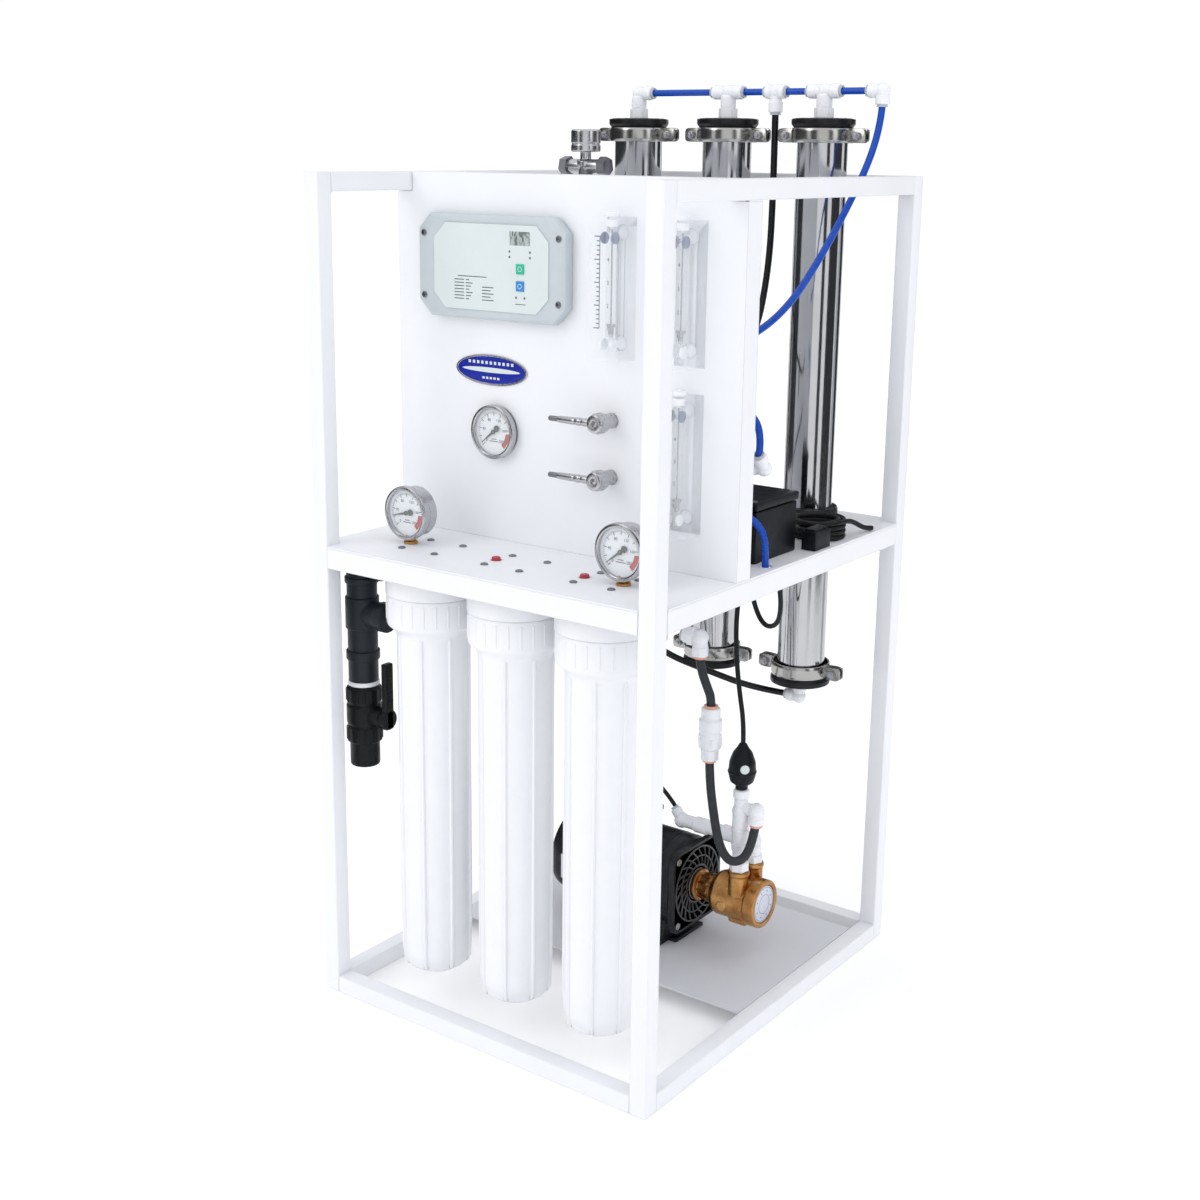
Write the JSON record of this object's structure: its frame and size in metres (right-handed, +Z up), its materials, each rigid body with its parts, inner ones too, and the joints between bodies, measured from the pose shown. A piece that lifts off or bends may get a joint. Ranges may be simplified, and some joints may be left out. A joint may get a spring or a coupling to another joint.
{
  "type": "reverse osmosis unit",
  "caption": "Floor-standing water purifier: square-tube frame with hanging filter housings, tall steel membrane tubes, gauge and flowmeter panel, pump with motor.",
  "frame": {"origin": "centre of the stand's footprint, on the floor", "axes": "+X to the right and +Y to the back for a person who faces the control panel, +Z up"},
  "size_m": [0.56, 0.644, 1.273],
  "materials": {
    "white_powder": "satin",
    "base_sheet": "satin",
    "screw_steel": "satin",
    "case_grey": "satin",
    "overlay_pale": "satin",
    "display_grey": "gloss",
    "key_green": "gloss",
    "key_blue": "gloss",
    "oval_blue": "gloss",
    "gauge_steel": "satin",
    "dial_white": "matt",
    "clear_glass": "gloss",
    "needle_black": "matt",
    "clear_acrylic": "gloss",
    "fitting_white": "gloss",
    "float_steel": "satin",
    "valve_steel": "satin",
    "housing_white": "satin",
    "cartridge_white": "matt",
    "seal_rubber": "matt",
    "relief_red": "gloss",
    "polished_steel": "polished",
    "cap_black": "satin",
    "clamp_steel": "satin",
    "element_blue": "satin",
    "tube_blue": "satin",
    "tube_black": "satin",
    "pump_brass": "cast",
    "face_steel": "satin",
    "motor_black": "satin",
    "switch_black": "satin",
    "pvc_grey": "satin",
    "pvc_black": "satin",
    "cable_black": "satin"
  },
  "bodies": {
    "stand": {"band_clamps": "clamp_steel", "base_plate": "base_sheet", "black_tubes": "tube_black", "blue_tubes": "tube_blue", "clamp_bolts": "screw_steel", "control_cables": "cable_black", "control_panel": "white_powder", "controller_case": "case_grey", "controller_cover": "case_grey", "controller_display": "display_grey", "controller_overlay": "overlay_pale", "cord_coil": "cable_black", "corner_posts": "white_powder", "cover_screws": "screw_steel", "electrical_box": "switch_black", "feed_pipe": "pvc_grey", "feed_valve": "pvc_black", "filter_cartridges": "cartridge_white", "filter_heads": "housing_white", "flowmeter_bodies": "clear_acrylic", "flowmeter_fittings": "fitting_white", "frame_rails": "white_powder", "gauge_cases": "gauge_steel", "gauge_dials": "dial_white", "gauge_lenses": "clear_glass", "head_screws": "screw_steel", "membrane_collars": "cap_black", "membrane_elements": "element_blue", "membrane_end_caps": "cap_black", "membrane_housings": "polished_steel", "motor_base": "motor_black", "motor_shell": "motor_black", "o_rings": "seal_rubber", "oval_plate": "oval_blue", "panel_screws": "screw_steel", "power_cord": "cable_black", "pressure_switch": "switch_black", "pump_body": "pump_brass", "pump_faceplate": "face_steel", "push_fittings": "fitting_white", "shelf_lips": "white_powder", "shelf_plate": "white_powder", "valve_bodies": "valve_steel"},
    "start_key_body": {"start_key": "key_green"},
    "stop_key_body": {"stop_key": "key_blue"},
    "panel_needle_body": {"panel_needle": "needle_black"},
    "left_needle_body": {"left_needle": "needle_black"},
    "right_needle_body": {"right_needle": "needle_black"},
    "left_float_body": {"left_float": "float_steel"},
    "upper_float_body": {"upper_float": "float_steel"},
    "lower_float_body": {"lower_float": "float_steel"},
    "upper_lever_body": {"upper_lever": "valve_steel"},
    "lower_lever_body": {"lower_lever": "valve_steel"},
    "left_sump_body": {"left_sump": "housing_white"},
    "middle_sump_body": {"middle_sump": "housing_white"},
    "right_sump_body": {"right_sump": "housing_white"},
    "middle_relief_body": {"middle_relief_button": "relief_red"},
    "right_relief_body": {"right_relief_button": "relief_red"},
    "rotor": {"drive_shaft": "screw_steel"},
    "feed_handle_body": {"feed_handle": "pvc_black"}
  },
  "joints": [
    {"name": "start_key_press", "type": "slide", "parent": "stand", "child": "start_key_body", "axis": [0, 1, 0], "range_m": [0, 0.001], "stiffness_N_per_m": 400, "springref_m": -0.002},
    {"name": "stop_key_press", "type": "slide", "parent": "stand", "child": "stop_key_body", "axis": [0, 1, 0], "range_m": [0, 0.001], "stiffness_N_per_m": 400, "springref_m": -0.002},
    {"name": "panel_needle_turn", "type": "hinge", "parent": "stand", "child": "panel_needle_body", "pos_m": [-0.104, -0.152, 0.809], "axis": [0, 1, 0], "range_deg": [-6, 264]},
    {"name": "left_needle_turn", "type": "hinge", "parent": "stand", "child": "left_needle_body", "pos_m": [-0.18, -0.244, 0.702], "axis": [0, 1, 0], "range_deg": [-32, 238]},
    {"name": "right_needle_turn", "type": "hinge", "parent": "stand", "child": "right_needle_body", "pos_m": [0.174, -0.244, 0.702], "axis": [0, 1, 0], "range_deg": [-8, 262]},
    {"name": "left_float_rise", "type": "slide", "parent": "stand", "child": "left_float_body", "axis": [0, 0, 1], "range_m": [0, 0.1]},
    {"name": "upper_float_rise", "type": "slide", "parent": "stand", "child": "upper_float_body", "axis": [0, 0, 1], "range_m": [0, 0.1]},
    {"name": "lower_float_rise", "type": "slide", "parent": "stand", "child": "lower_float_body", "axis": [0, 0, 1], "range_m": [0, 0.1]},
    {"name": "upper_lever_turn", "type": "hinge", "parent": "stand", "child": "upper_lever_body", "pos_m": [0.086, -0.174, 0.843], "axis": [0, 1, 0], "range_deg": [0, 90]},
    {"name": "lower_lever_turn", "type": "hinge", "parent": "stand", "child": "lower_lever_body", "pos_m": [0.086, -0.174, 0.769], "axis": [0, 1, 0], "range_deg": [-90, 0]},
    {"name": "left_sump_turn", "type": "hinge", "parent": "stand", "child": "left_sump_body", "pos_m": [-0.141, -0.237, 0.6], "axis": [0, 0, 1], "continuous": true},
    {"name": "middle_sump_turn", "type": "hinge", "parent": "stand", "child": "middle_sump_body", "pos_m": [0.003, -0.237, 0.6], "axis": [0, 0, 1], "continuous": true},
    {"name": "right_sump_turn", "type": "hinge", "parent": "stand", "child": "right_sump_body", "pos_m": [0.147, -0.237, 0.6], "axis": [0, 0, 1], "continuous": true},
    {"name": "middle_relief_press", "type": "slide", "parent": "stand", "child": "middle_relief_body", "axis": [0, 0, -1], "range_m": [0, 0.002], "stiffness_N_per_m": 600, "springref_m": -0.003},
    {"name": "right_relief_press", "type": "slide", "parent": "stand", "child": "right_relief_body", "axis": [0, 0, -1], "range_m": [0, 0.002], "stiffness_N_per_m": 600, "springref_m": -0.003},
    {"name": "rotor_spin", "type": "hinge", "parent": "stand", "child": "rotor", "pos_m": [0, 0.097, 0.112], "axis": [1, 0, 0], "continuous": true},
    {"name": "feed_handle_turn", "type": "hinge", "parent": "stand", "child": "feed_handle_body", "pos_m": [-0.215, -0.257, 0.405], "axis": [1, 0, 0], "range_deg": [-90, 0]}
  ]
}
